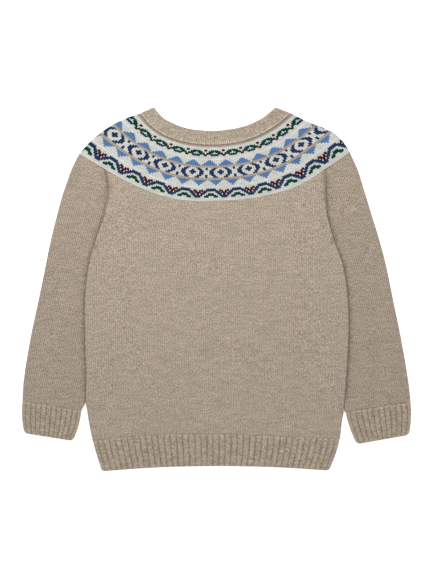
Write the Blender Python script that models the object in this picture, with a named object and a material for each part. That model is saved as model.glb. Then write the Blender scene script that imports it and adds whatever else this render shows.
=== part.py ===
"""A child's fair isle pullover, laid flat on its front with both sleeves folded down.

Metres, +Z up, +Y towards the neck. The origin lies on the surface, under the middle of
the garment. Every piece is a real wall of knitted cloth: a sleeve, a cuff, the yoke and
the neckband are tubes pressed flat, and the body is a back and a front that meet at the
side folds. The sides of the body lie over the inner halves of the sleeves.
"""

import math
from collections import namedtuple

import bmesh
import bpy

MM = 0.001

# Cloth, in millimetres
CLOTH = 2.2
LAYER_GAP = 0.8
SEAM_GAP = 0.4
BESIDE_GAP = 0.6
FOLD_RADIUS = CLOTH + LAYER_GAP / 2
INNER_RADIUS = LAYER_GAP / 2
MIDDLE = FOLD_RADIUS
FOLD_ANGLES = (0, 30, 60)

# How far the body climbs over the sleeves beneath it, in millimetres
SLEEVE_THICKNESS = 2 * FOLD_RADIUS
CLIMB = SLEEVE_THICKNESS + BESIDE_GAP
CLIMB_FLAT = 3.0
CLIMB_WIDTH = 30.0
CLIMB_BELOW_YOKE = 32.0
CLIMB_END, CLIMB_END_LENGTH = -147.0, 33.0

# Where the back settles into the deeper neckline of the front, in millimetres
FRONT_NECK_DROP = 27.0
FRONT_EDGE_DROP = 22.0
SETTLE = 2.4
SETTLE_START, SETTLE_WIDTH = 1.0, 14.0

# Shoulder folds bow outwards between the neckband and the yoke's edge, in millimetres,
# the right one more towards the edge
SHOULDER_BOW = (4.2, 6.2)
RIGHT_BOW_SKEW = 0.39

# Ribs, in millimetres, and how many lie across the side that faces up
RIB_RELIEF = 0.9
HEM_RIBS = 41
CUFF_RIBS = 12
NECK_RIBS = 74
NECK_RIB_RELIEF = 0.4
NECK_DOUBLE = 0.6
CUFF_BOW = 2.0
HEM_CORNER = 4.0
# One 2 by 2 rib: share of its width, and share of its relief
RIB_SHAPE = ((0.0, 0.0), (0.15, 0.8), (0.5, 1.0), (0.85, 0.8))

# The garment's edges, in millimetres: height above the origin, then places across.
# A tuck is how far a sleeve's inner edge lies beneath the body, or beside it if negative.
Side = namedtuple("Side", "up outer_left body_left tuck_left tuck_right body_right outer_right")
SIDES = (
    Side(174.0, -176.0, -144.6, 0.0, 0.0, 138.9, 170.5),
    Side(154.5, -185.8, -144.6, 0.0, 0.0, 138.9, 179.6),
    Side(139.8, -191.2, -140.6, 0.0, 0.0, 139.8, 184.4),
    Side(124.4, -196.6, -139.6, 0.0, 0.0, 139.7, 189.1),
    Side(109.1, -201.1, -141.8, 2.5, 2.5, 140.4, 193.8),
    Side(93.7, -205.1, -145.9, 10.0, 10.0, 142.6, 198.5),
    Side(63.0, -212.7, -156.6, 26.0, 26.0, 151.2, 207.9),
    Side(29.7, -219.5, -165.6, 34.0, 34.0, 162.7, 216.6),
    Side(-13.8, -228.4, -170.4, 31.5, 31.5, 168.8, 225.5),
    Side(-65.0, -239.2, -170.2, 19.8, 19.8, 169.5, 235.9),
    Side(-116.2, -247.4, -168.9, 6.3, 6.3, 166.5, 244.7),
    Side(-144.4, -249.2, -168.7, 0.0, 1.8, 163.2, 247.9),
    Side(-156.0, -249.5, -166.2, -7.4, -0.6, 162.2, 248.9),
    Side(-170.0, -248.7, -164.1, -11.6, -6.5, 159.9, 248.7),
    Side(-193.0, -243.0, -159.5, -24.0, -20.0, 157.1, 242.0),
    Side(-212.0, -243.0, -154.4, -24.0, -20.0, 151.9, 242.0),
    Side(-231.5, -243.0, -148.0, -24.0, -20.0, 144.0, 242.0),
)

# The neck, its linked seam and the yoke's lower edge on the back, in millimetres.
# A row for each tenth of the way round from the left shoulder fold to the right one.
Round = namedtuple("Round", "neck_x neck_y seam_x seam_y edge_x edge_y")
ROUNDS = (
    Round(-81.0, 233.2, -99.2, 225.0, -176.1, 173.7),
    Round(-69.9, 220.2, -84.9, 208.6, -144.1, 154.2),
    Round(-54.7, 211.9, -67.0, 196.5, -111.2, 136.1),
    Round(-38.4, 206.1, -46.5, 189.2, -76.6, 121.6),
    Round(-21.2, 203.6, -25.0, 185.4, -40.1, 113.8),
    Round(-3.9, 202.7, -3.2, 184.6, -2.6, 113.2),
    Round(13.4, 204.4, 18.6, 186.4, 34.9, 115.4),
    Round(30.4, 207.5, 39.8, 191.2, 71.8, 122.1),
    Round(46.8, 213.2, 59.9, 199.7, 107.2, 134.3),
    Round(61.8, 221.7, 78.4, 211.0, 138.9, 154.3),
    Round(75.0, 233.0, 95.0, 225.3, 169.9, 175.5),
)

# The hem rib's upper and lower edges, in millimetres, from the left fold to the right one
Hem = namedtuple("Hem", "across top bottom")
HEM = (
    Hem(0.0, -193.5, -232.9),
    Hem(0.25, -186.5, -227.9),
    Hem(0.5, -185.6, -226.3),
    Hem(0.75, -188.3, -227.6),
    Hem(1.0, -191.3, -231.9),
)

# The corners of each cuff, in millimetres
Cuff = namedtuple("Cuff", "outer_top outer_bottom inner_top inner_bottom")
CUFFS = {
    "left": Cuff((-249.2, -143.2), (-246.6, -184.2), (-173.4, -155.3), (-184.3, -194.0)),
    "right": Cuff((247.9, -144.5), (245.6, -186.4), (164.4, -156.9), (178.8, -198.2)),
}

# How finely each piece is divided
BODY_COLUMNS = (0.03, 0.055, 0.08, 0.11, 0.15, 0.2, 0.26, 0.32, 0.38, 0.44)
BODY_ROWS_NEAR_YOKE = (0.0, 0.022, 0.044, 0.066, 0.09, 0.12, 0.16, 0.22)
BODY_ROWS = (*BODY_ROWS_NEAR_YOKE, 0.29, 0.37, 0.46, 0.56, 0.67, 0.78, 0.85, 0.92, 1.0)
SLEEVE_ROWS_NEAR_YOKE = (0.0, 0.025, 0.05, 0.075, 0.1, 0.135, 0.18, 0.24)
SLEEVE_ROWS = (*SLEEVE_ROWS_NEAR_YOKE, 0.31, 0.39, 0.48, 0.58, 0.69, 0.8, 0.9, 1.0)
YOKE_ROWS = (0.0, 0.16, 0.33, 0.5, 0.67, 0.84, 1.0)
BAND_ROWS = ((0.0, 0.8), (0.5, 1.0), (0.86, 0.85), (1.0, 0.4))
HEM_ROWS = (0.0, 0.5, 1.0)
CUFF_ROWS = (0.0, 0.35, 0.7, 0.92, 1.0)
YOKE_COLUMNS = 36
SLEEVE_COLUMNS = 7
PLAIN_COLUMNS = 24
COLUMN_MARGIN = 1.4
PROBE = 0.01
TOP_STEPS = 4
SLEEVE_SAG_SHARE = 0.2
SHARP_ANGLE = 50

# Colours: red, green, blue from 0 to 1, and roughness
BEIGE_KNIT = ((0.45, 0.37, 0.29), 0.95)
BEIGE_RIB = ((0.41, 0.335, 0.26), 0.95)
CREAM_KNIT = ((0.69, 0.69, 0.63), 0.95)


def mix(first, second, share):
    """A number or a point part of the way from one to another."""
    if isinstance(first, tuple):
        return tuple(mix(a, b, share) for a, b in zip(first, second))
    return first + (second - first) * share


def ease(share):
    """Nought to one with a soft start and end."""
    share = min(1.0, max(0.0, share))
    return share * share * (3 - 2 * share)


def curve(knots, values, at):
    """The smooth curve through the values at the knots, which rise, read at one place."""
    at = min(knots[-1], max(knots[0], at))
    i = next(k for k in range(len(knots) - 1) if at <= knots[k + 1])

    def slope(k):
        low, high = max(0, k - 1), min(len(knots) - 1, k + 1)
        return (values[high] - values[low]) / (knots[high] - knots[low])

    span = knots[i + 1] - knots[i]
    t = (at - knots[i]) / span
    return (
        values[i] * (1 + 2 * t) * (1 - t) ** 2
        + slope(i) * span * t * (1 - t) ** 2
        + values[i + 1] * t * t * (3 - 2 * t)
        + slope(i + 1) * span * t * t * (t - 1)
    )


def side(column, up):
    """One column of the table of sides, at a height."""
    rows = SIDES[::-1]
    return curve([row.up for row in rows], [getattr(row, column) for row in rows], up)


def height_of_line(name, x, drop=0.0):
    """How high the back's line is at this x, less the drop of the front's at its middle."""
    xs = [getattr(row, f"{name}_x") for row in ROUNDS]
    inside = min(xs[-1], max(xs[0], x))
    fall = math.sin(math.pi * (inside - xs[0]) / (xs[-1] - xs[0]))
    return curve(xs, [getattr(row, f"{name}_y") for row in ROUNDS], x) - drop * fall


def ring_line(name, across, drop=0.0):
    """A point of the neck, seam or edge line, from the left fold to the right."""
    knots = [k / (len(ROUNDS) - 1) for k in range(len(ROUNDS))]
    x = curve(knots, [getattr(row, f"{name}_x") for row in ROUNDS], across)
    return x, height_of_line(name, x, drop)


def hem_line(name, across):
    """The height of the hem rib's top or bottom edge."""
    return curve([row.across for row in HEM], [getattr(row, name) for row in HEM], across)


def climb(x, y):
    """How far the body is lifted here by the sleeves beneath it."""
    hand, far = ("left", 1) if x < 0 else ("right", -1)
    body_edge = side(f"body_{hand}", y)
    under_edge = max(0.0, side(f"tuck_{hand}", y))
    inward = (x - body_edge) * far - under_edge
    across = 1 - ease((inward - CLIMB_FLAT) / CLIMB_WIDTH)
    below_yoke = ease((height_of_line("edge", x) - y) / CLIMB_BELOW_YOKE)
    above_hem = ease((y - CLIMB_END + CLIMB_END_LENGTH) / CLIMB_END_LENGTH)
    return CLIMB * across * below_yoke * above_hem


def settle(x, y):
    """How far the back sinks here, where no front lies beneath it."""
    return -SETTLE * ease((y - height_of_line("neck", x, FRONT_NECK_DROP) - SETTLE_START) / SETTLE_WIDTH)


def yoke_plan(dropped):
    """The yoke's plan on the back or, dropped, on the front: from the linked seam down."""

    def place(across, along):
        seam = ring_line("seam", across, FRONT_NECK_DROP * dropped)
        edge = ring_line("edge", across, FRONT_EDGE_DROP * dropped)
        end = 2 * across - 1
        skew = RIGHT_BOW_SKEW * math.sin(2 * math.pi * along) if end > 0 else 0.0
        bow = (4 * along * (1 - along) - skew) * abs(end)
        x, y = mix(seam, edge, along)
        return x + SHOULDER_BOW[0] * bow * end, y + SHOULDER_BOW[1] * bow * abs(end)

    return place


def band_plan(dropped):
    """The neckband's plan, from just above the linked seam to the neck."""

    def place(across, along):
        seam = ring_line("seam", across, FRONT_NECK_DROP * dropped)
        neck = ring_line("neck", across, FRONT_NECK_DROP * dropped)
        start = SEAM_GAP / math.dist(seam, neck)
        return mix(seam, neck, start + along * (1 - start))

    return place


def body_plan(dropped):
    """The body's plan on the back or the front, from the yoke down to the hem rib."""

    def across_at(across, y):
        return mix(side("body_left", y), side("body_right", y), across)

    def place(across, along):
        top = SIDES[1].up
        for _ in range(TOP_STEPS):
            x = across_at(across, top)
            top = height_of_line("edge", x, FRONT_EDGE_DROP * dropped)
        y = mix(top - SEAM_GAP, hem_line("top", across) + SEAM_GAP, along)
        return across_at(across, y), y

    return place


def hem_plan(across, along):
    """The hem rib's plan, with its lower corners rounded."""
    bottom = hem_line("bottom", across)
    from_side = min(across, 1 - across) * (side("body_right", bottom) - side("body_left", bottom))
    short = max(0.0, HEM_CORNER - from_side)
    bottom += HEM_CORNER - math.sqrt(HEM_CORNER**2 - short**2)
    y = mix(hem_line("top", across), bottom, along)
    return mix(side("body_left", y), side("body_right", y), across), y


def sleeve_plan(hand, dropped):
    """A sleeve's plan, from the yoke to its cuff, and from its left edge to its right."""
    far = 1 if hand == "left" else -1
    cuff = CUFFS[hand]
    shoulder = ring_line("edge", 0.0 if hand == "left" else 1.0)
    armpit_x = side(f"body_{hand}", SIDES[1].up) - far * BESIDE_GAP

    def edge_top(x):
        return height_of_line("edge", x, FRONT_EDGE_DROP * dropped) - SEAM_GAP

    def outer(along):
        y = mix(shoulder[1] - SEAM_GAP, cuff.outer_top[1] + SEAM_GAP, along)
        return side(f"outer_{hand}", y), y

    def inner(along):
        y = mix(edge_top(armpit_x), cuff.inner_top[1] + SEAM_GAP, along)
        return side(f"body_{hand}", y) + far * (side(f"tuck_{hand}", y) - BESIDE_GAP), y

    def place(across, along):
        share = across if hand == "left" else 1 - across
        x, y = mix(outer(along), inner(along), share)
        sag = edge_top(x) - mix(outer(0.0), inner(0.0), share)[1]
        return x, y + sag * (1 - ease(along / SLEEVE_SAG_SHARE))

    return place


def cuff_plan(hand):
    """A cuff's plan, from the sleeve to its open end."""
    far = 1 if hand == "left" else -1
    cuff = CUFFS[hand]

    def place(across, along):
        share = across if hand == "left" else 1 - across
        bow = CUFF_BOW * 4 * along * (1 - along) * (2 * share - 1) * far
        outer = mix(cuff.outer_top, cuff.outer_bottom, along)
        inner = mix(cuff.inner_top, cuff.inner_bottom, along)
        x, y = mix(outer, inner, share)
        return x + bow, y

    return place


def flat_columns(count):
    """Evenly spread places across a piece."""
    return [(k + 0.5) / count for k in range(count)]


def rib_columns(ribs):
    """Places across a ribbed piece, each with its share of the relief."""
    return [((k + place) / ribs, height) for k in range(ribs) for place, height in RIB_SHAPE]


def fine_rib_columns(ribs):
    """Places across a band of 1 by 1 rib, valley and crest in turn."""
    return [((k + half / 2) / ribs, half) for k in range(ribs) for half in (0, 1)]


Layer = namedtuple("Layer", "plan columns relief extra lift")


def level(x, y):
    """The lift of a piece that lies straight on the surface."""
    return 0.0


def layer(plan, columns, relief=0.0, extra=0.0, lift=level):
    """One face of a pressed tube. A column is its place and its share of the relief.

    The extra is the thickness that a doubled cloth adds.
    """
    pairs = [c if isinstance(c, tuple) else (c, 0.0) for c in columns]
    return Layer(plan, pairs, relief, extra, lift)


def fold_share(plan, along):
    """Where across a piece its side fold ends and its flat face begins."""
    start, probe = plan(0.0, along), plan(PROBE, along)
    return PROBE * FOLD_RADIUS / math.dist(start, probe)


def fold_points(upper, under, along, end, seam):
    """The side fold at across 0 or 1: outer and inner points of its upper and lower quarter.

    The middle of a whole fold follows the lower layer. A seamed fold is parted there.
    """
    step = fold_share(upper.plan, along)
    at = step if end == 0 else 1 - step
    quarters = []
    for sign, own in ((1, upper), (-1, under)):
        quarter = []
        for angle in FOLD_ANGLES:
            turn = math.radians(angle)
            plan = under.plan if angle == 0 and seam == 0 else own.plan
            tip, root = plan(float(end), along), plan(at, along)
            pair = []
            for radius in (FOLD_RADIUS, INNER_RADIUS):
                x, y = mix(root, tip, math.cos(turn) * radius / FOLD_RADIUS)
                rise = seam + (radius - seam) * math.sin(turn)
                pair.append((x, y, MIDDLE + sign * rise + own.lift(x, y)))
            quarter.append(tuple(pair))
        quarters.append(quarter)
    return quarters


def face_points(own, sign, along, wall, step, margin):
    """The flat face of a layer at one section, as outer and inner points."""
    pairs = []
    inside = [c for c in own.columns if margin < c[0] < 1 - margin]
    for across, share in [(step, 0.0), *inside, (1 - step, 0.0)]:
        x, y = own.plan(across, along)
        outer = FOLD_RADIUS + own.relief * share + own.extra
        half = (outer - INNER_RADIUS) / 2 * wall
        centre = (outer + INNER_RADIUS) / 2
        base = MIDDLE + own.lift(x, y)
        pairs.append(((x, y, base + sign * (centre + half)), (x, y, base + sign * (centre - half))))
    return pairs


def section(upper, under, along, wall, build, margin):
    """All outer and inner points of one section of a piece, in order round it."""
    seam = 0.0 if build == "both" else SEAM_GAP / 2
    left_up, left_down = fold_points(upper, under, along, 0, seam)
    right_up, right_down = fold_points(upper, under, along, 1, seam)
    step = fold_share(upper.plan, along)
    over = [*left_up, *face_points(upper, 1, along, wall, step, margin), *right_up[::-1]]
    if build == "upper":
        return over
    below = [*left_down, *face_points(under, -1, along, wall, step, margin), *right_down[::-1]]
    if build == "under":
        return below
    return over + below[1:-1][::-1]


def make_piece(name, upper, under, rows, build, finish):
    """Makes one wall of cloth through its sections and adds it to the scene."""
    rows = [row if isinstance(row, tuple) else (row, 1.0) for row in rows]
    margin = COLUMN_MARGIN * max(fold_share(upper.plan, along) for along, _ in rows)
    sections = [section(upper, under, along, wall, build, margin) for along, wall in rows]
    mesh = bpy.data.meshes.new(name)
    shell = bmesh.new()
    grid = [
        [[shell.verts.new([c * MM for c in point]) for point in pair] for pair in points]
        for points in sections
    ]
    count = len(grid[0])
    closed = build == "both"
    for here, there in zip(grid, grid[1:]):
        for k in range(count if closed else count - 1):
            n = (k + 1) % count
            shell.faces.new((here[k][0], here[n][0], there[n][0], there[k][0]))
            shell.faces.new((here[k][1], there[k][1], there[n][1], here[n][1]))
        if not closed:
            for k in (0, count - 1):
                shell.faces.new((here[k][0], there[k][0], there[k][1], here[k][1]))
    for rim in (grid[0], grid[-1]):
        for k in range(count if closed else count - 1):
            n = (k + 1) % count
            shell.faces.new((rim[k][0], rim[k][1], rim[n][1], rim[n][0]))
    bmesh.ops.recalc_face_normals(shell, faces=shell.faces)
    bmesh.ops.triangulate(shell, faces=shell.faces)
    shell.to_mesh(mesh)
    shell.free()
    mesh.shade_smooth()
    mesh.set_sharp_from_angle(angle=math.radians(SHARP_ANGLE))
    piece = bpy.data.objects.new(name, mesh)
    bpy.context.scene.collection.objects.link(piece)
    piece.data.materials.append(cloth_material(name, finish))
    return piece


def cloth_material(name, finish):
    """A matt knit in one colour."""
    colour, roughness = finish
    material = bpy.data.materials.new(f"{name}_cloth")
    material.use_nodes = True
    shader = material.node_tree.nodes["Principled BSDF"]
    shader.inputs["Base Color"].default_value = (*colour, 1.0)
    shader.inputs["Roughness"].default_value = roughness
    shader.inputs["Metallic"].default_value = 0.0
    return material


def make_body():
    """The back and the front, and the hem rib of each."""
    half = list(BODY_COLUMNS)
    columns = half + [0.5] + [1 - c for c in reversed(half)]
    back = layer(body_plan(0), columns, lift=climb)
    front = layer(body_plan(1), columns, lift=climb)
    make_piece("body_back", back, front, BODY_ROWS, "upper", BEIGE_KNIT)
    make_piece("body_front", back, front, BODY_ROWS, "under", BEIGE_KNIT)
    ribbed = layer(hem_plan, rib_columns(HEM_RIBS), relief=RIB_RELIEF)
    plain = layer(hem_plan, flat_columns(PLAIN_COLUMNS))
    make_piece("hem_back", ribbed, plain, HEM_ROWS, "upper", BEIGE_RIB)
    make_piece("hem_front", ribbed, plain, HEM_ROWS, "under", BEIGE_RIB)


def make_sleeve(hand):
    """A sleeve and its cuff."""
    columns = flat_columns(SLEEVE_COLUMNS)
    upper = layer(sleeve_plan(hand, 0), columns)
    under = layer(sleeve_plan(hand, 1), columns)
    make_piece(f"sleeve_{hand}", upper, under, SLEEVE_ROWS, "both", BEIGE_KNIT)
    ribbed = layer(cuff_plan(hand), rib_columns(CUFF_RIBS), relief=RIB_RELIEF)
    plain = layer(cuff_plan(hand), columns)
    make_piece(f"cuff_{hand}", ribbed, plain, CUFF_ROWS, "both", BEIGE_RIB)


def make_yoke():
    """The yoke and the neckband."""
    upper = layer(yoke_plan(0), flat_columns(YOKE_COLUMNS), lift=settle)
    under = layer(yoke_plan(1), flat_columns(YOKE_COLUMNS))
    make_piece("yoke", upper, under, YOKE_ROWS, "both", CREAM_KNIT)
    ribs = fine_rib_columns(NECK_RIBS)
    ribbed = layer(band_plan(0), ribs, NECK_RIB_RELIEF, NECK_DOUBLE, settle)
    plain = layer(band_plan(1), flat_columns(PLAIN_COLUMNS))
    make_piece("neckband", ribbed, plain, BAND_ROWS, "both", BEIGE_RIB)


def main():
    for thing in list(bpy.data.objects):
        bpy.data.objects.remove(thing)
    make_body()
    for hand in CUFFS:
        make_sleeve(hand)
    make_yoke()


main()
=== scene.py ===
"""A child's fair isle pullover in melange wool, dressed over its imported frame.

It lies flat on its front with both sleeves folded down. Every piece of cloth is a closed
thin wall on the form of its solid, with its stitches and ribs raised from the real gauge.
Sizes are in millimetres until a mesh is made, and +Y points from the hem to the neck.
"""

import logging
import math
from collections.abc import Callable
from dataclasses import dataclass, field
from enum import Enum
from typing import NamedTuple

import bpy
import numpy as np
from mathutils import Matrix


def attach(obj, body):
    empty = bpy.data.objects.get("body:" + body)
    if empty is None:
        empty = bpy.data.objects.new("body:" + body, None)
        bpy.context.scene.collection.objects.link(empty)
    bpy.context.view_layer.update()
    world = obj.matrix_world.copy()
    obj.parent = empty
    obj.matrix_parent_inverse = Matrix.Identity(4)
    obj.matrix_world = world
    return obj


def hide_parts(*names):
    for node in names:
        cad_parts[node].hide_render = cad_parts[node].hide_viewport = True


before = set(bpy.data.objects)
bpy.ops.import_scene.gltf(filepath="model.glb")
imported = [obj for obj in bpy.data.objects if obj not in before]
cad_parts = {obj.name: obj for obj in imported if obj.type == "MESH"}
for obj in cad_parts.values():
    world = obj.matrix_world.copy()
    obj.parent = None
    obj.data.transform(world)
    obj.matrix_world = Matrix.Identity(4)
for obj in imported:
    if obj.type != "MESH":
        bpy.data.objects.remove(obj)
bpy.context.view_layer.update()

log = logging.getLogger("fair_isle_pullover")

Array = np.ndarray
Lift = Callable[[Array, Array], Array]

MM = 0.001

# Two layers of cloth pressed flat, in millimetres, as in the solids
CLOTH = 2.2
LAYER_GAP = 0.8
FOLD_RADIUS = CLOTH + LAYER_GAP / 2
MIDDLE = FOLD_RADIUS
FOLD_ARC = math.pi / 2 * FOLD_RADIUS

# The scene's own wall, and how far a piece stops short of its neighbour
WALL = 1.5
TOUCH = 0.05

# A short step across a piece measures how wide it lies, and so do many places along it
PROBE = 0.01
WIDTH_PLACES = 201
# Lines down the inner face of a wall
INNER_LINES = 14
# Lines down and across the grid that measures a piece's flat size
FLAT_LINES = (41, 121)
# Points nearer than this, in metres, are one, and faces at a sharper angle keep their edge
MERGE_DISTANCE = 1e-7
SMOOTH_DEGREES = 78.0

# The sides of the body climb over the sleeves beneath them. They lie level for a short way
# inward of the sleeve and then come down, and they do so gently below the yoke and above the hem
CLIMB = 2 * FOLD_RADIUS + TOUCH
CLIMB_FLAT = 3.0
CLIMB_WIDTH = 30.0
CLIMB_BELOW_YOKE = 32.0
CLIMB_END = -128.0
CLIMB_END_LENGTH = 33.0

# The back settles into the deeper neckline of the front
FRONT_NECK_DROP = 27.0
FRONT_EDGE_DROP = 22.0
SETTLE = 2.4
SETTLE_START = 1.0
SETTLE_WIDTH = 14.0

# The yoke bows out at both shoulders, outward and up, and the right one lower down
SHOULDER_BOW = (4.2, 6.2)
RIGHT_BOW_SKEW = 0.39
CUFF_BOW = 2.0
# The top share of a sleeve in which its rows still follow the yoke's curved edge
SLEEVE_SAG_SHARE = 0.2
HEM_CORNER = 4.0
CUFF_CORNER = 4.5
# The body's top edge is found in steps, because its place across depends on its height
TOP_STEPS = 4

# The body's edge sinks into the sleeve on which it lies
PRESS = 1.6
PRESS_WIDTH = 4.0
# Painted shade lies beside that edge, on the sleeve and on the body itself, where light is lost
CONTACT_WIDTH = 1.3
EDGE_WIDTH = 1.2
EDGE_SHADE = 0.7
# Painted shade lies too in the soft valley above each armpit, which begins below the yoke
VALLEY_WIDTH = 6.0
VALLEY_SHADE = 0.6
VALLEY_START = 12.0
VALLEY_LENGTH = 24.0
# A low power keeps a crease high for most of its length
CREASE_TAPER = 0.8

# A stocking stitch of the body is 2.4 mm wide and 1.9 mm high, and its legs slant by half a row
STITCH_HEIGHT = 1.9
CHEVRON = 0.5

# Columns gather at the sides where the cloth narrows, and keep less of their relief there
GATHER_EDGE = 5.0
GATHER_RELIEF = 1.3
GATHER_LEAST = 0.05
# The upper layer takes over from the one beneath within this angle of the fold
FOLD_TURN = math.pi / 6
# A thicker face rises to its height over this width beside the fold
RISE_WIDTH = 5.0
# A column less hollow than this is the top of a leg, and a pinch draws the others in less
CREST = 0.1
PINCH_BETWEEN = 0.4

# A rounded end curves in more from outside than from inside. Each step is the share of the
# outside curve from the end, and the share of the relief that is left there
RIM_OUTSIDE = 1.1
RIM_INSIDE = 0.2
RIM_STEPS = ((0.0, 0.25), (0.15, 0.35), (0.4, 0.6), (0.75, 0.9), (1.1, 1.0))
# Evenly spaced lines keep clear of it by this many times the curve
RIM_CLEAR = 1.5

# How a rib's depth wanders across the ribs and along them, in radians
WANDER_ACROSS = 0.9
WANDER_ALONG = 6.0
SWING = 2.0
SWING_ACROSS = 0.37
BEAT_ACROSS = 0.23
BEAT_ALONG = 4.0


class Side(NamedTuple):
    """The garment's edges at one height. A tuck is how far a sleeve lies under the body."""

    up: float
    outer_left: float
    body_left: float
    tuck_left: float
    tuck_right: float
    body_right: float
    outer_right: float


SIDES = (
    Side(174.0, -176.0, -143.9, 0.0, 0.0, 138.4, 170.5),
    Side(154.5, -185.8, -143.9, 0.0, 0.0, 138.4, 179.6),
    Side(139.8, -191.2, -139.4, 0.0, 0.0, 138.8, 184.4),
    Side(124.4, -196.6, -138.1, 6.0, 6.0, 138.3, 189.1),
    Side(109.1, -201.1, -140.2, 9.0, 9.0, 138.9, 193.8),
    Side(93.7, -205.1, -144.3, 14.0, 14.0, 141.1, 198.5),
    Side(63.0, -212.7, -155.0, 26.0, 26.0, 149.7, 207.9),
    Side(29.7, -219.5, -164.1, 34.0, 34.0, 161.2, 216.6),
    Side(-13.8, -228.4, -168.9, 31.5, 31.5, 167.4, 225.5),
    Side(-65.0, -239.2, -168.8, 19.8, 19.8, 168.0, 235.9),
    Side(-116.2, -247.4, -167.4, 9.0, 9.0, 165.1, 244.7),
    Side(-144.4, -249.2, -167.9, 0.0, 1.2, 162.6, 247.9),
    Side(-156.0, -249.5, -166.2, -7.4, -0.6, 162.2, 248.9),
    Side(-170.0, -248.7, -164.1, -11.6, -6.5, 159.9, 248.7),
    Side(-193.0, -243.0, -159.5, -24.0, -20.0, 157.1, 242.0),
    Side(-212.0, -243.0, -154.4, -24.0, -20.0, 151.9, 242.0),
    Side(-231.5, -243.0, -148.0, -24.0, -20.0, 144.0, 242.0),
)


class Round(NamedTuple):
    """The neck, its linked seam and the yoke's lower edge, at one of eleven places across."""

    neck_x: float
    neck_y: float
    seam_x: float
    seam_y: float
    edge_x: float
    edge_y: float


ROUNDS = (
    Round(-81.0, 233.2, -99.2, 225.0, -176.1, 173.7),
    Round(-69.9, 220.2, -84.9, 208.6, -144.1, 154.2),
    Round(-54.7, 211.9, -67.0, 196.5, -111.2, 136.1),
    Round(-38.4, 206.1, -46.5, 189.2, -76.6, 121.6),
    Round(-21.2, 203.6, -25.0, 185.4, -40.1, 113.8),
    Round(-3.9, 202.7, -3.2, 184.6, -2.6, 113.2),
    Round(13.4, 204.4, 18.6, 186.4, 34.9, 115.4),
    Round(30.4, 207.5, 39.8, 191.2, 71.8, 122.1),
    Round(46.8, 213.2, 59.9, 199.7, 107.2, 134.3),
    Round(61.8, 221.7, 78.4, 211.0, 138.9, 154.3),
    Round(75.0, 233.0, 95.0, 225.3, 169.9, 175.5),
)


class HemLine(NamedTuple):
    """The hem rib's upper and lower edges at a place across."""

    across: float
    top: float
    bottom: float


HEM = (
    HemLine(0.0, -193.5, -232.9),
    HemLine(0.25, -186.5, -227.9),
    HemLine(0.5, -185.6, -226.3),
    HemLine(0.75, -188.3, -227.6),
    HemLine(1.0, -191.3, -231.9),
)


class CuffCorners(NamedTuple):
    """The corners of a cuff."""

    outer_top: tuple[float, float]
    outer_bottom: tuple[float, float]
    inner_top: tuple[float, float]
    inner_bottom: tuple[float, float]


class Hand(Enum):
    """Which sleeve, as seen from above, and the way from its outer edge inwards."""

    LEFT = 1
    RIGHT = -1

    @property
    def word(self) -> str:
        """The hand's name as used in the names of pieces and columns."""
        return self.name.lower()


CUFFS = {
    Hand.LEFT: CuffCorners((-249.2, -143.2), (-246.6, -184.2), (-173.4, -155.3), (-184.3, -194.0)),
    Hand.RIGHT: CuffCorners((247.9, -144.5), (245.6, -186.4), (164.4, -156.9), (178.8, -198.2)),
}


class Cut(Enum):
    """Which faces of the pressed tube a piece has."""

    ROUND = "round"
    UPPER = "upper"
    UNDER = "under"


def mix(first: Array | float, second: Array | float, share: Array | float) -> Array | float:
    """Goes part of the way from one value to another."""
    return first + (second - first) * share


def ease(share: Array | float) -> Array:
    """Nought to one with a soft start and end."""
    share = np.clip(share, 0.0, 1.0)
    return share * share * (3 - 2 * share)


def arch(share: Array | float) -> Array | float:
    """Nought at both ends and one in the middle."""
    return 4 * share * (1 - share)


def smooth_line(knots: list[float], values: list[float], place: Array | float) -> Array:
    """Reads the smooth curve through measured values.

    Args:
        knots: Rising places where the curve is known.
        values: Its value at each of them.
        place: Where it is read.

    Returns:
        The curve's value at each place.
    """
    knot, value = np.asarray(knots, float), np.asarray(values, float)
    at = np.clip(place, knot[0], knot[-1])
    i = np.clip(np.searchsorted(knot, at) - 1, 0, len(knot) - 2)
    low = np.maximum(np.arange(len(knot)) - 1, 0)
    high = np.minimum(np.arange(len(knot)) + 1, len(knot) - 1)
    slope = (value[high] - value[low]) / (knot[high] - knot[low])
    span = knot[i + 1] - knot[i]
    t = (at - knot[i]) / span
    return (
        value[i] * (1 + 2 * t) * (1 - t) ** 2
        + slope[i] * span * t * (1 - t) ** 2
        + value[i + 1] * t * t * (3 - 2 * t)
        + slope[i + 1] * span * t * t * (t - 1)
    )


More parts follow.
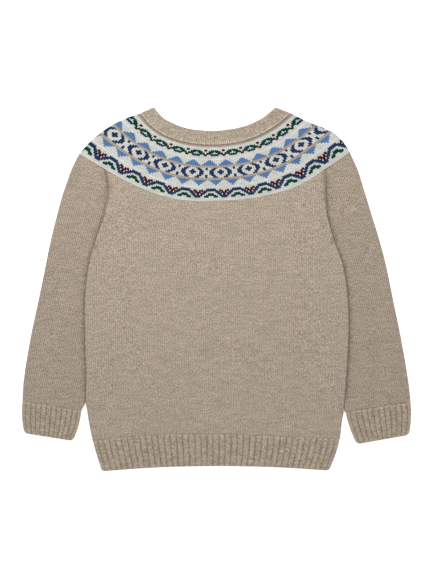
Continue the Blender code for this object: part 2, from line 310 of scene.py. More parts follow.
class Outline:
    """The measured edges of the garment and how its layers lie on each other."""

    @staticmethod
    def side(column: str, up: Array | float) -> Array:
        """Reads one column of the table of sides at a height."""
        rows = SIDES[::-1]
        return smooth_line([row.up for row in rows], [getattr(row, column) for row in rows], up)

    @staticmethod
    def line_height(name: str, x: Array | float, drop: float = 0.0) -> Array:
        """Height of the neck, seam or edge line.

        Args:
            name: The line: neck, seam or edge.
            x: Places across the garment.
            drop: How much lower the front's line is at its middle.

        Returns:
            The line's height at each place.
        """
        xs = [getattr(row, f"{name}_x") for row in ROUNDS]
        ys = [getattr(row, f"{name}_y") for row in ROUNDS]
        inside = np.clip(x, xs[0], xs[-1])
        fall = np.sin(np.pi * (inside - xs[0]) / (xs[-1] - xs[0]))
        return smooth_line(xs, ys, x) - drop * fall

    @classmethod
    def ring(cls, name: str, across: Array | float, drop: float = 0.0) -> tuple[Array, Array]:
        """Finds a point of the neck, seam or edge line.

        Args:
            name: The line: neck, seam or edge.
            across: Share of the way from the left fold to the right.
            drop: How much lower the front's line is at its middle.

        Returns:
            The point's x and y.
        """
        knots = [k / (len(ROUNDS) - 1) for k in range(len(ROUNDS))]
        x = smooth_line(knots, [getattr(row, f"{name}_x") for row in ROUNDS], across)
        return x, cls.line_height(name, x, drop)

    @staticmethod
    def hem(name: str, across: Array | float) -> Array:
        """The height of the hem rib's top or bottom edge."""
        return smooth_line([row.across for row in HEM], [getattr(row, name) for row in HEM], across)

    @classmethod
    def inward(cls, x: Array, y: Array) -> Array:
        """How far a place lies inside the body's side edge, below nought outside it."""
        edge = np.where(x < 0, cls.side("body_left", y), cls.side("body_right", y))
        return (x - edge) * np.where(x < 0, 1, -1)

    @classmethod
    def below_yoke(cls, x: Array, y: Array) -> Array:
        """Nought at the yoke's lower edge, and one from a little way below it."""
        return ease((cls.line_height("edge", x) - y) / CLIMB_BELOW_YOKE)

    @staticmethod
    def above_hem(y: Array) -> Array:
        """One down to where the body leaves the sleeves, and nought near the hem."""
        return ease((y - CLIMB_END + CLIMB_END_LENGTH) / CLIMB_END_LENGTH)

    @classmethod
    def climb(cls, x: Array, y: Array) -> Array:
        """Measures how far the body is lifted by the sleeves beneath it.

        Args:
            x: Places across the garment.
            y: Their heights up the garment.

        Returns:
            The lift at each place.
        """
        tuck = np.where(x < 0, cls.side("tuck_left", y), cls.side("tuck_right", y))
        inward = cls.inward(x, y) - np.maximum(0.0, tuck)
        across = 1 - ease((inward - CLIMB_FLAT) / CLIMB_WIDTH)
        return CLIMB * across * cls.below_yoke(x, y) * cls.above_hem(y)

    @classmethod
    def press(cls, x: Array, y: Array) -> Array:
        """How far a sleeve is pressed in here by the edge of the body, as a negative lift."""
        outward = np.maximum(0.0, -cls.inward(x, y))
        return -PRESS * np.exp(-((outward / PRESS_WIDTH) ** 2)) * cls.below_yoke(x, y) * cls.above_hem(y)

    @classmethod
    def contact(cls, x: Array, y: Array) -> Array:
        """Measures how much light a sleeve loses beside the edge of the body.

        Args:
            x: Places across the garment.
            y: Their heights up the garment.

        Returns:
            The loss at each place, one where it is complete.
        """
        outward = np.maximum(0.0, -cls.inward(x, y))
        beside = np.exp(-((outward / CONTACT_WIDTH) ** 2)) * cls.below_yoke(x, y)
        return np.maximum(beside, cls.valley(x, y))

    @classmethod
    def valley(cls, x: Array, y: Array) -> Array:
        """Measures how much light the cloth loses in the soft valley above the armpit.

        Args:
            x: Places across the garment.
            y: Their heights up the garment.

        Returns:
            The loss at each place, one where it is complete.
        """
        below = cls.line_height("edge", x) - y
        deep = ease(below / VALLEY_START) * (1 - ease((below - VALLEY_LENGTH) / VALLEY_LENGTH))
        return VALLEY_SHADE * np.exp(-((cls.inward(x, y) / VALLEY_WIDTH) ** 2)) * deep

    @classmethod
    def edge(cls, x: Array, y: Array) -> Array:
        """Measures how much light the body loses at its own edge and in the valley.

        Args:
            x: Places across the garment.
            y: Their heights up the garment.

        Returns:
            The loss at each place, one where it is complete.
        """
        near = np.exp(-((np.maximum(0.0, cls.inward(x, y)) / EDGE_WIDTH) ** 2))
        at_edge = EDGE_SHADE * near * cls.below_yoke(x, y) * cls.above_hem(y)
        return np.maximum(at_edge, cls.valley(x, y))

    @classmethod
    def settle(cls, x: Array, y: Array) -> Array:
        """How far the back sinks here, where no front lies beneath it."""
        above = y - cls.line_height("neck", x, FRONT_NECK_DROP) - SETTLE_START
        return -SETTLE * ease(above / SETTLE_WIDTH)


@dataclass(frozen=True)
class Crease:
    """A soft ridge, or with a negative height a trough, laid across the cloth."""

    start: tuple[float, float]
    end: tuple[float, float]
    width: float
    height: float
    bend: float = 0.0

    def lift(self, x: Array, y: Array) -> Array:
        """The crease's height at each place.

        Args:
            x: Places across the garment.
            y: Their heights up the garment.

        Returns:
            Its height there, and nought beyond its ends.
        """
        run = (self.end[0] - self.start[0], self.end[1] - self.start[1])
        length = math.hypot(*run)
        dx, dy = x - self.start[0], y - self.start[1]
        along = (dx * run[0] + dy * run[1]) / length**2
        inside = np.clip(along, 0.0, 1.0)
        off = (dx * run[1] - dy * run[0]) / length - self.bend * np.sin(np.pi * inside)
        taper = np.sin(np.pi * inside) ** CREASE_TAPER * (along > 0) * (along < 1)
        return self.height * np.exp(-((off / self.width) ** 2)) * taper


BACK_CREASES = (
    Crease((-148, 118), (-112, 60), 9.0, 0.7, 4),
    Crease((142, 116), (112, 52), 9.0, 0.7, -4),
    Crease((-156, 60), (-96, 22), 7.0, -1.0, -5),
    Crease((150, 66), (84, 20), 8.0, -0.6, 5),
    Crease((-120, -20), (-70, -150), 16.0, 0.6, 8),
    Crease((96, -10), (128, -160), 15.0, -0.6, -7),
    Crease((-40, 60), (30, 10), 18.0, -0.5, 6),
    Crease((-10, -60), (70, -120), 17.0, 0.5, -8),
    Crease((-158.5, 62.0), (-151.0, 44.0), 2.4, -2.2),
    Crease((-142.5, 131.0), (-134.5, 127.0), 1.3, -0.7),
    Crease((-141.0, 119.0), (-133.0, 113.5), 1.3, -0.6),
    Crease((-145.0, 96.0), (-137.5, 88.0), 1.3, -0.6),
    Crease((149.5, 68.0), (143.0, 53.0), 2.2, -1.8),
    Crease((141.0, 138.0), (134.0, 134.5), 1.3, -0.7),
    Crease((140.0, 116.5), (132.0, 110.0), 1.3, -0.7),
    Crease((140.5, 106.0), (133.5, 99.5), 1.3, -0.6),
    Crease((-120, -186), (-60, -172), 6.0, 0.4, 2),
    Crease((40, -174), (130, -178), 6.0, 0.4, -2),
    Crease((-143.0, 170), (-138.0, 104), 5.0, -1.5),
    Crease((137.0, 170), (138.5, 102), 5.0, -1.5),
)
FRONT_CREASES = (
    Crease((-120, 96), (-70, 30), 12.0, 0.8, 6),
    Crease((116, 88), (72, 10), 12.0, 0.8, -6),
    Crease((-60, -40), (-20, -160), 16.0, 0.7, 8),
    Crease((50, 0), (96, -130), 15.0, 0.7, -8),
)
LEFT_CREASES = (
    Crease((-146.5, 172), (-141.5, 96), 5.5, -1.8),
    Crease((-186, 128), (-152, 104), 6.0, -0.6, 3),
    Crease((-214, 30), (-186, -10), 8.0, -0.6, 4),
    Crease((-222, -20), (-204, -120), 9.0, 0.5, -4),
    Crease((-236, -96), (-180, -112), 8.0, -0.5, 3),
)
RIGHT_CREASES = (
    Crease((141.0, 172), (141.5, 94), 5.5, -1.8),
    Crease((182, 118), (152, 92), 6.0, -0.6, -3),
    Crease((200, 62), (176, 24), 8.0, -0.6, -4),
    Crease((214, -10), (196, -104), 9.0, 0.5, 4),
    Crease((238, -90), (184, -116), 8.0, -0.6, -3),
)


def folds(creases: tuple[Crease, ...], lift: Lift) -> Lift:
    """Adds creases to a lift.

    Args:
        creases: The ridges and troughs.
        lift: How the layer lies without them.

    Returns:
        A lift with both.
    """

    def total(x: Array, y: Array) -> Array:
        """The lift with its creases."""
        return lift(x, y) + sum(crease.lift(x, y) for crease in creases)

    return total


def level(x: Array, y: Array) -> Array:
    """The lift of a piece that lies straight on the surface."""
    return np.zeros_like(x)


class Plan:
    """Where the cloth of a layer lies, from its left edge to its right and from its top down."""

    def place(self, across: Array, along: Array) -> tuple[Array, Array]:
        """Places across and along the piece, as x and y."""
        raise NotImplementedError

    def straight(self, across: Array, along: Array) -> tuple[Array, Array]:
        """The same places before any corner is rounded."""
        return self.place(across, along)

    def fold_share(self, along: Array) -> Array:
        """Share of the width that a side fold's radius takes.

        Args:
            along: Share of the way down the piece.

        Returns:
            The share at each place.
        """
        x0, y0 = self.straight(np.zeros_like(along), along)
        x1, y1 = self.straight(np.full_like(along, PROBE), along)
        return PROBE * FOLD_RADIUS / np.hypot(x1 - x0, y1 - y0)


@dataclass(frozen=True)
class YokePlan(Plan):
    """The yoke, from the linked seam down, on the back or on the lower-cut front."""

    dropped: float

    def place(self, across: Array, along: Array) -> tuple[Array, Array]:
        """Places across and along the yoke, as x and y.

        Args:
            across: Share of the way from the left edge to the right.
            along: Share of the way from the top down.

        Returns:
            The places' x and y.
        """
        seam = Outline.ring("seam", across, FRONT_NECK_DROP * self.dropped)
        edge = Outline.ring("edge", across, FRONT_EDGE_DROP * self.dropped)
        end = 2 * across - 1
        skew = np.where(end > 0, RIGHT_BOW_SKEW, 0.0) * np.sin(2 * np.pi * along)
        bow = (arch(along) - skew) * np.abs(end)
        x = mix(seam[0], edge[0], along) + SHOULDER_BOW[0] * bow * end
        y = mix(seam[1], edge[1], along) + SHOULDER_BOW[1] * bow * np.abs(end)
        return x, y


@dataclass(frozen=True)
class NeckPlan(Plan):
    """The neckband, from the neck down to the linked seam."""

    dropped: float

    def place(self, across: Array, along: Array) -> tuple[Array, Array]:
        """Places across and along the neckband, as x and y.

        Args:
            across: Share of the way from the left edge to the right.
            along: Share of the way from the top down.

        Returns:
            The places' x and y.
        """
        seam = Outline.ring("seam", across, FRONT_NECK_DROP * self.dropped)
        neck = Outline.ring("neck", across, FRONT_NECK_DROP * self.dropped)
        width = np.hypot(seam[0] - neck[0], seam[1] - neck[1])
        reach = along * (1 - TOUCH / width)
        return mix(neck[0], seam[0], reach), mix(neck[1], seam[1], reach)


@dataclass(frozen=True)
class BodyPlan(Plan):
    """The body, from the yoke down to the hem rib."""

    dropped: float

    def place(self, across: Array, along: Array) -> tuple[Array, Array]:
        """Places across and along the body, as x and y.

        Args:
            across: Share of the way from the left edge to the right.
            along: Share of the way from the top down.

        Returns:
            The places' x and y.
        """
        top = np.full_like(across, SIDES[1].up)
        for _ in range(TOP_STEPS):
            x = mix(Outline.side("body_left", top), Outline.side("body_right", top), across)
            top = Outline.line_height("edge", x, FRONT_EDGE_DROP * self.dropped)
        y = mix(top - TOUCH, Outline.hem("top", across) + TOUCH, along)
        return mix(Outline.side("body_left", y), Outline.side("body_right", y), across), y


@dataclass(frozen=True)
class HemPlan(Plan):
    """The hem rib, from the body down to its rounded corners."""

    def fold_share(self, along: Array) -> Array:
        """Share of the width that a side fold's radius takes, above the rounded corner."""
        return super().fold_share(np.zeros_like(along))

    def place(self, across: Array, along: Array) -> tuple[Array, Array]:
        """Places across and along the hem rib, as x and y.

        Args:
            across: Share of the way from the left edge to the right.
            along: Share of the way from the top down.

        Returns:
            The places' x and y.
        """
        bottom = Outline.hem("bottom", across)
        width = Outline.side("body_right", bottom) - Outline.side("body_left", bottom)
        short = np.maximum(0.0, HEM_CORNER - np.minimum(across, 1 - across) * width)
        bottom = bottom + HEM_CORNER - np.sqrt(HEM_CORNER**2 - short**2)
        y = mix(Outline.hem("top", across), bottom, along)
        return mix(Outline.side("body_left", y), Outline.side("body_right", y), across), y


@dataclass(frozen=True)
class SleevePlan(Plan):
    """A sleeve, from the yoke down to its cuff."""

    hand: Hand
    dropped: float

    def edge_top(self, x: Array) -> Array:
        """Where the sleeve meets the yoke's lower edge."""
        return Outline.line_height("edge", x, FRONT_EDGE_DROP * self.dropped) - TOUCH

    def place(self, across: Array, along: Array) -> tuple[Array, Array]:
        """Places across and along the sleeve, as x and y.

        Args:
            across: Share of the way from the left edge to the right.
            along: Share of the way from the top down.

        Returns:
            The places' x and y.
        """
        word, far, cuff = self.hand.word, self.hand.value, CUFFS[self.hand]
        share = across if self.hand is Hand.LEFT else 1 - across
        shoulder = float(ROUNDS[0 if self.hand is Hand.LEFT else -1].edge_y)
        armpit_x = float(Outline.side(f"body_{word}", SIDES[1].up)) - far * TOUCH
        outer_start, inner_start = shoulder - TOUCH, float(self.edge_top(np.array(armpit_x)))
        outer_y = mix(outer_start, cuff.outer_top[1] + TOUCH, along)
        outer_x = Outline.side(f"outer_{word}", outer_y)
        inner_y = mix(inner_start, cuff.inner_top[1] + TOUCH, along)
        tuck = Outline.side(f"tuck_{word}", inner_y) - TOUCH
        inner_x = Outline.side(f"body_{word}", inner_y) + far * tuck
        x, y = mix(outer_x, inner_x, share), mix(outer_y, inner_y, share)
        sag = self.edge_top(x) - mix(outer_start, inner_start, share)
        return x, y + sag * (1 - ease(along / SLEEVE_SAG_SHARE))


@dataclass(frozen=True)
class CuffPlan(Plan):
    """A cuff, from the sleeve to the rounded corners of its open end."""

    hand: Hand

    def place(self, across: Array, along: Array) -> tuple[Array, Array]:
        """Places across and along the cuff, as x and y.

        Args:
            across: Share of the way from the left edge to the right.
            along: Share of the way from the top down.

        Returns:
            The places' x and y.
        """
        cuff = CUFFS[self.hand]
        width = math.dist(cuff.outer_bottom, cuff.inner_bottom)
        short = np.maximum(0.0, CUFF_CORNER - np.minimum(across, 1 - across) * width)
        lost = CUFF_CORNER - np.sqrt(CUFF_CORNER**2 - short**2)
        return self.straight(across, along * (1 - lost / math.dist(cuff.outer_top, cuff.outer_bottom)))

    def straight(self, across: Array, along: Array) -> tuple[Array, Array]:
        """The same places with sharp corners.

        Args:
            across: Share of the way from the left edge to the right.
            along: Share of the way from the top down.

        Returns:
            The places' x and y.
        """
        cuff = CUFFS[self.hand]
        share = across if self.hand is Hand.LEFT else 1 - across
        bow = CUFF_BOW * arch(along) * (2 * share - 1) * self.hand.value
        outer = [mix(cuff.outer_top[k], cuff.outer_bottom[k], along) for k in (0, 1)]
        inner = [mix(cuff.inner_top[k], cuff.inner_bottom[k], along) for k in (0, 1)]
        return mix(outer[0], inner[0], share) + bow, mix(outer[1], inner[1], share)


@dataclass(frozen=True)
class Layer:
    """One face of a pressed tube: its plan and how it is lifted."""

    plan: Plan
    lift: Lift = level


@dataclass(frozen=True)
class Repeat:
    """One repeat of the knit across the cloth, a stitch or a rib.

    Each column of it has its share of the repeat's width, how hollow it lies, in millimetres,
    and its count of stitches. The width is the repeat's number of stitches. A rib may stand
    proud, lie thicker on the upper face, and be uneven by a share of its depth.
    """

    shares: tuple[float, ...]
    hollows: tuple[float, ...]
    counts: tuple[float, ...]
    width: float
    proud: float = 0.0
    thicker: float = 0.0
    uneven: float = 0.0

    def wander(self, count: Array, along: float) -> Array:
        """How the depth between the ribs varies, from 1 down to what the unevenness leaves.

        Args:
            count: Stitches counted from the left fold.
            along: Share of the way down the piece.

        Returns:
            The share of its depth that each column keeps.
        """
        swing = SWING * np.sin(SWING_ACROSS * count)
        drift = np.sin(WANDER_ACROSS * count + WANDER_ALONG * along + swing)
        beat = np.cos(BEAT_ACROSS * count - BEAT_ALONG * along)
        return 1 - self.uneven * (1 + drift * beat) / 2


# Two legs of a stocking stitch, with a deep line between stitches and a shallow one inside
STOCKING = Repeat((0.0, 0.25, 0.5, 0.75), (0.45, 0.02, 0.13, 0.02), (0.0, 0.25, 0.5, 0.75), 1.0)
# Two knit stitches stand up between two purl stitches that draw in to a thin valley
RIB = Repeat(
    (0.0, 0.07, 0.14, 0.22, 0.33, 0.44, 0.5, 0.56, 0.67, 0.78, 0.86, 0.93),
    (1.0, 0.85, 0.36, 0.06, 0.12, 0.0, 0.16, 0.0, 0.12, 0.06, 0.36, 0.85),
    (0.0, 0.5, 1.0, 1.25, 1.5, 1.75, 2.0, 2.25, 2.5, 2.75, 3.0, 3.5),
    4.0,
    proud=0.9,
    uneven=0.35,
)
# A fine rib, one knit and one purl stitch, in a band folded double
FINE_RIB = Repeat(
    (0.0, 0.2, 0.35, 0.5, 0.65, 0.8),
    (0.7, 0.32, 0.0, 0.08, 0.0, 0.32),
    (0.0, 0.5, 0.75, 1.0, 1.25, 1.5),
    2.0,
    proud=0.4,
    thicker=0.6,
    uneven=0.35,
)


@dataclass(frozen=True)
class Line:
    """One line of points round a piece."""

    along: float
    chevron: float = 0.0
    pinch: float = 0.0
    row: float = 0.0
    relief: float = 1.0
    gleam: float = 0.0


@dataclass(frozen=True)
class Band:
    """A run of rows with one count of repeats, and the chart of its colours."""

    repeat: Repeat
    upper: int
    under: int
    lines: tuple[Line, ...]
    chart: tuple[str, ...] = ()
    first: int = 0


@dataclass(frozen=True)
class Lines:
    """Evenly spaced lines, with a few more where an end is rounded.

    The relief grows from its share at the top to its share at the bottom, each over a length.
    """

    length: float
    count: int
    round_top: bool = False
    round_bottom: bool = False
    relief_top: float = 1.0
    relief_bottom: float = 1.0
    ramp: float = 4.0
    gleam: float = 0.0
    gleam_at: float = 0.0
    gleam_width: float = 0.9

    def relief(self, place: float) -> float:
        """The share of the relief that the repeat has at a place along the piece.

        Args:
            place: Share of the way down the piece.

        Returns:
            The share, one away from both ends.
        """
        near_top = 1 - float(ease(place * self.length / self.ramp))
        near_bottom = 1 - float(ease((1 - place) * self.length / self.ramp))
        return 1 + (self.relief_top - 1) * near_top + (self.relief_bottom - 1) * near_bottom

    def shine(self, place: float) -> float:
        """How much painted highlight the loops drawn out at a linked edge get, as they catch the light."""
        return self.gleam * math.exp(-(((place * self.length - self.gleam_at) / self.gleam_width) ** 2))

    def lines(self) -> tuple[Line, ...]:
        """Lists the lines from the top down.

        Returns:
            The lines, in order.
        """
        rows = self.length / STITCH_HEIGHT
        rims = {}
        for share, left in RIM_STEPS:
            inward = RIM_OUTSIDE * share / self.length
            if self.round_top:
                rims[inward] = left
            if self.round_bottom:
                rims[1 - inward] = left
        clear = RIM_CLEAR * RIM_OUTSIDE / self.length
        even = [k / self.count for k in range(self.count + 1)]
        kept = [
            place
            for place in even
            if (not self.round_top or place > clear) and (not self.round_bottom or place < 1 - clear)
        ]
        return tuple(
            Line(place, 0.0, 0.0, place * rows, self.relief(place) * rims.get(place, 1.0), self.shine(place))
            for place in sorted([*kept, *rims])
        )


@dataclass
class Columns:
    """The columns of points round a piece, in order from the left fold over to the right."""

    face: Array
    place: Array
    hollow: Array
    proud: Array
    count: Array
    tip: Array
    step: int

    def each_repeat(self) -> "Columns":
        """Keeps the first column of each repeat."""
        kept = [row[:: self.step] for row in (self.face, self.place, self.hollow, self.proud, self.count)]
        return Columns(*kept, tip=self.tip[:: self.step], step=1)

    def around(self) -> Array:
        """Places counted on from the upper face round to the one beneath."""
        return np.where(self.face > 0, self.place, 2 - self.place)


@dataclass
class KnitPiece:
    """One knitted piece, built as a closed wall of cloth.

    Its columns run straight from the anchor, a share of the way across, and gather at the
    sides where the cloth narrows. Without an anchor they spread evenly.
    """

    name: str
    cut: Cut
    upper: Layer
    under: Layer
    bands: tuple[Band, ...]
    length: float
    anchor: float | None = None
    round_top: bool = False
    round_bottom: bool = False
    yarns: dict[str, tuple[float, float, float]] = field(default_factory=dict)
    # Painted shade on the upper face, beside the body's edge and in the armpit valleys
    shadow: Lift = level
    points: list[Array] = field(default_factory=list)
    marks: list[Array] = field(default_factory=list)
    hollows: list[Array] = field(default_factory=list)
    faces: list[list[int]] = field(default_factory=list)
    shades: list[str] = field(default_factory=list)

    def __post_init__(self) -> None:
        """Measures how wide the piece lies along its length."""
        self.places = np.linspace(0.0, 1.0, WIDTH_PLACES)
        along, across = np.meshgrid(self.places, self.places, indexing="ij")
        x, y = self.upper.plan.place(across, along)
        runs = np.hypot(np.diff(x, axis=1), np.diff(y, axis=1)).sum(axis=1)
        self.widths = runs + 2 * (FOLD_ARC - FOLD_RADIUS)
        self.cut_widths = np.maximum.accumulate(self.widths[::-1])[::-1]

    def columns(self, band: Band) -> Columns:
        """Lists the columns of a band round the piece.

        Args:
            band: The band.

        Returns:
            Its columns, in order.
        """
        repeat = band.repeat
        shares, step = np.array(repeat.shares), len(repeat.shares)

        def run(repeats: int) -> tuple[Array, Array]:
            """Places and numbers of the columns across one face."""
            index = np.arange(repeats * step + 1)
            return (index // step + np.append(shares, 1.0)[index % step]) / repeats, index

        parts = []
        if self.cut is not Cut.UNDER:
            place, index = run(band.upper)
            parts.append((np.ones_like(place), place, index, 0))
        if self.cut is not Cut.UPPER:
            place, index = run(band.under)
            skip = 1 if self.cut is Cut.ROUND else 0
            first = band.upper if self.cut is Cut.ROUND else 0
            parts.append((-np.ones_like(place)[skip:], 1 - place[skip:], index[skip:], first))
        face = np.concatenate([part[0] for part in parts])
        place = np.concatenate([part[1] for part in parts])
        within = np.concatenate([part[2] % step for part in parts])
        whole = np.concatenate([part[2] // step + part[3] for part in parts])
        hollow = np.array(repeat.hollows)[within]
        count = whole * repeat.width + np.array(repeat.counts)[within]
        inside = np.mod(count, 1.0)
        tip = 1 - 2 * np.abs(inside - 0.5)
        raised = np.where(face > 0, repeat.proud + repeat.thicker, 0.0)
        return Columns(face, place, hollow, raised, count, tip, step)

    def surface(
        self, face: Array, place: Array, along: Array, depth: Array, raised: Array
    ) -> tuple[Array, Array]:
        """Points of the cloth, at a depth below its plain outer face.

        Args:
            face: 1 for the face that faces up, -1 for the one beneath.
            place: Share of the way round the face, from its left fold to its right.
            along: Share of the way down the piece.
            depth: Depth of the point below the plain outer face.
            raised: How far the cloth stands proud of it away from the folds.

        Returns:
            The points, and how much the cloth is gathered at each, 1 where it lies open.
        """
        here = np.interp(along, self.places, self.widths)
        gather = np.ones_like(here)
        arc = place * here
        if self.anchor is not None:
            natural = np.interp(along, self.places, self.cut_widths)
            off = (place - self.anchor) * natural
            side = np.where(off < 0, self.anchor, 1 - self.anchor)
            limit, reach = side * here - GATHER_EDGE, side * natural - GATHER_EDGE
            squeeze = GATHER_EDGE / np.maximum(GATHER_EDGE, reach - limit + GATHER_EDGE)
            distance = np.abs(off)
            beyond = distance > limit
            gather = np.where(beyond & (side > 0), squeeze, 1.0)
            distance = np.where(beyond, limit + (distance - limit) * squeeze, distance)
            arc = self.anchor * here + np.sign(off) * distance
        step = self.upper.plan.fold_share(along)
        from_edge = np.maximum(0.0, np.minimum(arc, here - arc))
        angle = np.minimum(from_edge, FOLD_ARC) / FOLD_RADIUS
        lift_off = raised * ease((from_edge - FOLD_ARC) / RISE_WIDTH)
        radius = FOLD_RADIUS - depth * np.clip(gather * GATHER_RELIEF, GATHER_LEAST, 1.0) + lift_off
        folded = step * (1 - radius / FOLD_RADIUS * np.cos(angle))
        flat = step + (1 - 2 * step) * (from_edge - FOLD_ARC) / (here - 2 * FOLD_ARC)
        share = np.where(from_edge < FOLD_ARC, folded, flat)
        across = np.where(arc < here / 2, share, 1 - share)
        upper_x, upper_y = self.upper.plan.place(across, along)
        under_x, under_y = self.under.plan.place(across, along)
        parted = self.cut is not Cut.ROUND
        over = np.where(face > 0, np.clip(angle / FOLD_TURN, 0.0, 1.0), 0.0)
        own = np.where(face > 0, 1.0, 0.0) if parted else over
        x, y = mix(under_x, upper_x, own), mix(under_y, upper_y, own)
        seam = TOUCH if parted else 0.0
        rise = seam + (radius - seam) * np.sin(angle)
        lift = mix(self.under.lift(x, y), self.upper.lift(x, y), over)
        return np.stack([x, y, MIDDLE + face * rise + lift], axis=-1), gather

    def rounding(self, along: Array, depth: Array, outer: bool) -> Array:
        """Curves the two faces of the wall towards each other at a rounded end.

        Args:
            along: Share of the way down the piece.
            depth: Depth of each point below the plain outer face.
            outer: Whether the points are the outer face's.

        Returns:
            The depth with the curve.
        """
        total = np.zeros_like(along)
        radius = RIM_OUTSIDE if outer else RIM_INSIDE
        for wanted, distance in ((self.round_top, along), (self.round_bottom, 1 - along)):
            if wanted:
                share = np.clip(1 - distance * self.length / radius, 0.0, 1.0)
                total = np.maximum(total, radius * (1 - np.sqrt(1 - share**2)))
        return depth + total if outer else depth - total

    def add_line(self, columns: Columns, band: Band, line: Line, row_height: float) -> Array:
        """Adds one line of the outer face.

        Args:
            columns: The columns of its band.
            band: The band.
            line: The line.
            row_height: Share of the piece's length that a row takes.

        Returns:
            The numbers of its points.
        """
        sway = line.chevron * CHEVRON * (columns.tip - 0.5)
        along = np.clip(line.along + row_height * sway, 0.0, 1.0)
        crest = columns.hollow < CREST
        uneven = columns.hollow * band.repeat.wander(columns.count, line.along)
        if self.cut is Cut.ROUND:
            # The last column is the first one again, so that the round closes
            uneven[-1] = uneven[0]
        relief = uneven * line.relief + line.pinch * np.where(crest, 1.0, PINCH_BETWEEN)
        depth = self.rounding(along, relief, True)
        spots, gather = self.surface(columns.face, columns.place, along, depth, columns.proud)
        # Painted shade: the colour darkens in the stitches' hollows, on a rounded end and beside the body's
        # edge, and a painted highlight lightens the crests of a gleaming line
        deepest = max(band.repeat.hollows)
        shaded = np.maximum(relief * gather / deepest, (depth - relief) / RIM_OUTSIDE)
        shaded = np.maximum(shaded, self.shadow(spots[:, 0], spots[:, 1]) * (columns.face > 0))
        shaded = np.where(crest & (line.gleam > 0), shaded - line.gleam, shaded)
        return self.keep(spots, columns.count, line.row + sway, shaded)

    def keep(self, spots: Array, count: Array, rows: Array, hollow: Array) -> Array:
        """Stores points with their stitch and row numbers.

        Args:
            spots: The points.
            count: The stitch number of each.
            rows: The row number of each.
            hollow: How hollow each lies, or how much shade falls on it beside the body's edge, as painted
                shade: one in the deepest valley, below nought for a painted highlight.

        Returns:
            The points' own numbers.
        """
        start = sum(len(block) for block in self.points)
        self.points.append(spots)
        self.marks.append(np.stack([count, np.broadcast_to(rows, count.shape)], axis=-1))
        self.hollows.append(np.broadcast_to(hollow, count.shape))
        return np.arange(start, start + len(spots))

    def add_faces(self, above: Array, below: Array, shades: list[str]) -> None:
        """Joins two lines with the same number of points.

        Args:
            above: Numbers of the upper line's points.
            below: Numbers of the lower line's points.
            shades: The yarn of each face between them.
        """
        quads = np.stack([above[:-1], below[:-1], below[1:], above[1:]], axis=-1)
        self.faces.extend(quads.tolist())
        self.shades.extend(shades)

    def zip_lines(
        self, above: Array, over: Columns, below: Array, under: Columns, shade: str
    ) -> None:
        """Joins two lines whose counts differ, as a decrease row does.

        Args:
            above: Numbers of the upper line's points.
            over: Its columns.
            below: Numbers of the lower line's points.
            under: Its columns.
            shade: The yarn of the joining faces.
        """
        first, second = over.around(), under.around()
        i = j = 0
        while i < len(above) - 1 or j < len(below) - 1:
            upper_next = first[i + 1] if i < len(above) - 1 else math.inf
            lower_next = second[j + 1] if j < len(below) - 1 else math.inf
            if upper_next <= lower_next:
                self.faces.append([int(above[i]), int(below[j]), int(above[i + 1])])
                i += 1
            else:
                self.faces.append([int(above[i]), int(below[j]), int(below[j + 1])])
                j += 1
            self.shades.append(shade)

    def band_shades(self, band: Band, columns: Columns, line: int) -> list[str]:
        """Reads the yarn of each face between one line and the next from the band's chart.

        Args:
            band: The band.
            columns: Its columns.
            line: Number of the upper line in the band.

        Returns:
            A letter for each face.
        """
        cells = len(columns.place) - 1
        if not band.chart:
            return [END_YARN] * cells
        stitches = (np.arange(cells) // columns.step - band.first).tolist()
        row, below = band.chart[line // 2], band.chart[min((line + 1) // 2, len(band.chart) - 1)]
        yarns = [row[k % len(row)] for k in stitches]
        lower = [below[k % len(below)] for k in stitches]
        # A dark yarn spreads over the next leg of a cream stitch, a loose one all round
        before, after = [yarns[0], *yarns[:-1]], [*yarns[1:], yarns[-1]]
        for beside, wide in ((after, DARK_YARNS), (before, LOOSE_YARNS), (lower, LOOSE_YARNS)):
            yarns = [near if here == "c" and near in wide else here for here, near in zip(yarns, beside)]
        return yarns

    def inner_line(self, columns: Columns, line: Line, end: bool) -> Array:
        """Adds one line of the inner face, a point for each repeat.

        Args:
            columns: The columns of the outer face there.
            line: The outer line that it lies beneath.
            end: Whether it is at an end of the piece.

        Returns:
            The numbers of its points.
        """
        kept = columns.each_repeat()
        along = np.full_like(kept.place, line.along)
        depth = np.full_like(along, WALL)
        depth = self.rounding(along, depth, False) if end else depth
        spots, _ = self.surface(kept.face, kept.place, along, depth, np.zeros_like(along))
        # The inner face takes the full painted shade
        return self.keep(spots, kept.count, np.full_like(along, line.row), np.ones_like(along))

    def close_end(self, outer: Array, inner: Array, step: int, top: bool) -> None:
        """Closes the wall between the outer and inner lines of an end.

        Args:
            outer: Numbers of the outer line's points.
            inner: Numbers of the inner line's points.
            step: Columns in a repeat.
            top: Whether it is the top end.
        """
        for k in range(len(inner) - 1):
            rim = outer[k * step : (k + 1) * step + 1].tolist()
            face = [*rim, int(inner[k + 1]), int(inner[k])]
            self.faces.append(face if top else face[::-1])
            self.shades.append(END_YARN)

    def build(self) -> bpy.types.Object:
        """Builds the piece's mesh and its object.

        Returns:
            The finished object, closed, with its faces outward.
        """
        edges: list[tuple[Array, Columns]] = []
        left, right, places = [], [], []
        last: tuple[Array, Columns, Band] | None = None
        for band in self.bands:
            columns = self.columns(band)
            row_height = 2 * (band.lines[-1].along - band.lines[0].along) / max(1, len(band.lines) - 1)
            above = None
            for k, line in enumerate(band.lines):
                here = self.add_line(columns, band, line, row_height)
                if above is not None:
                    self.add_faces(above, here, self.band_shades(band, columns, k - 1))
                elif last is not None:
                    self.zip_lines(last[0], last[1], here, columns, last[2].chart[-1][0])
                left.append(int(here[0]))
                right.append(int(here[-1]))
                places.append(line)
                above = here
                if k == 0 and not edges:
                    edges.append((here, columns))
            last = (above, columns, band)
        edges.append(last[:2])
        self.build_inside(edges, left, right, places)
        return self.make_object()

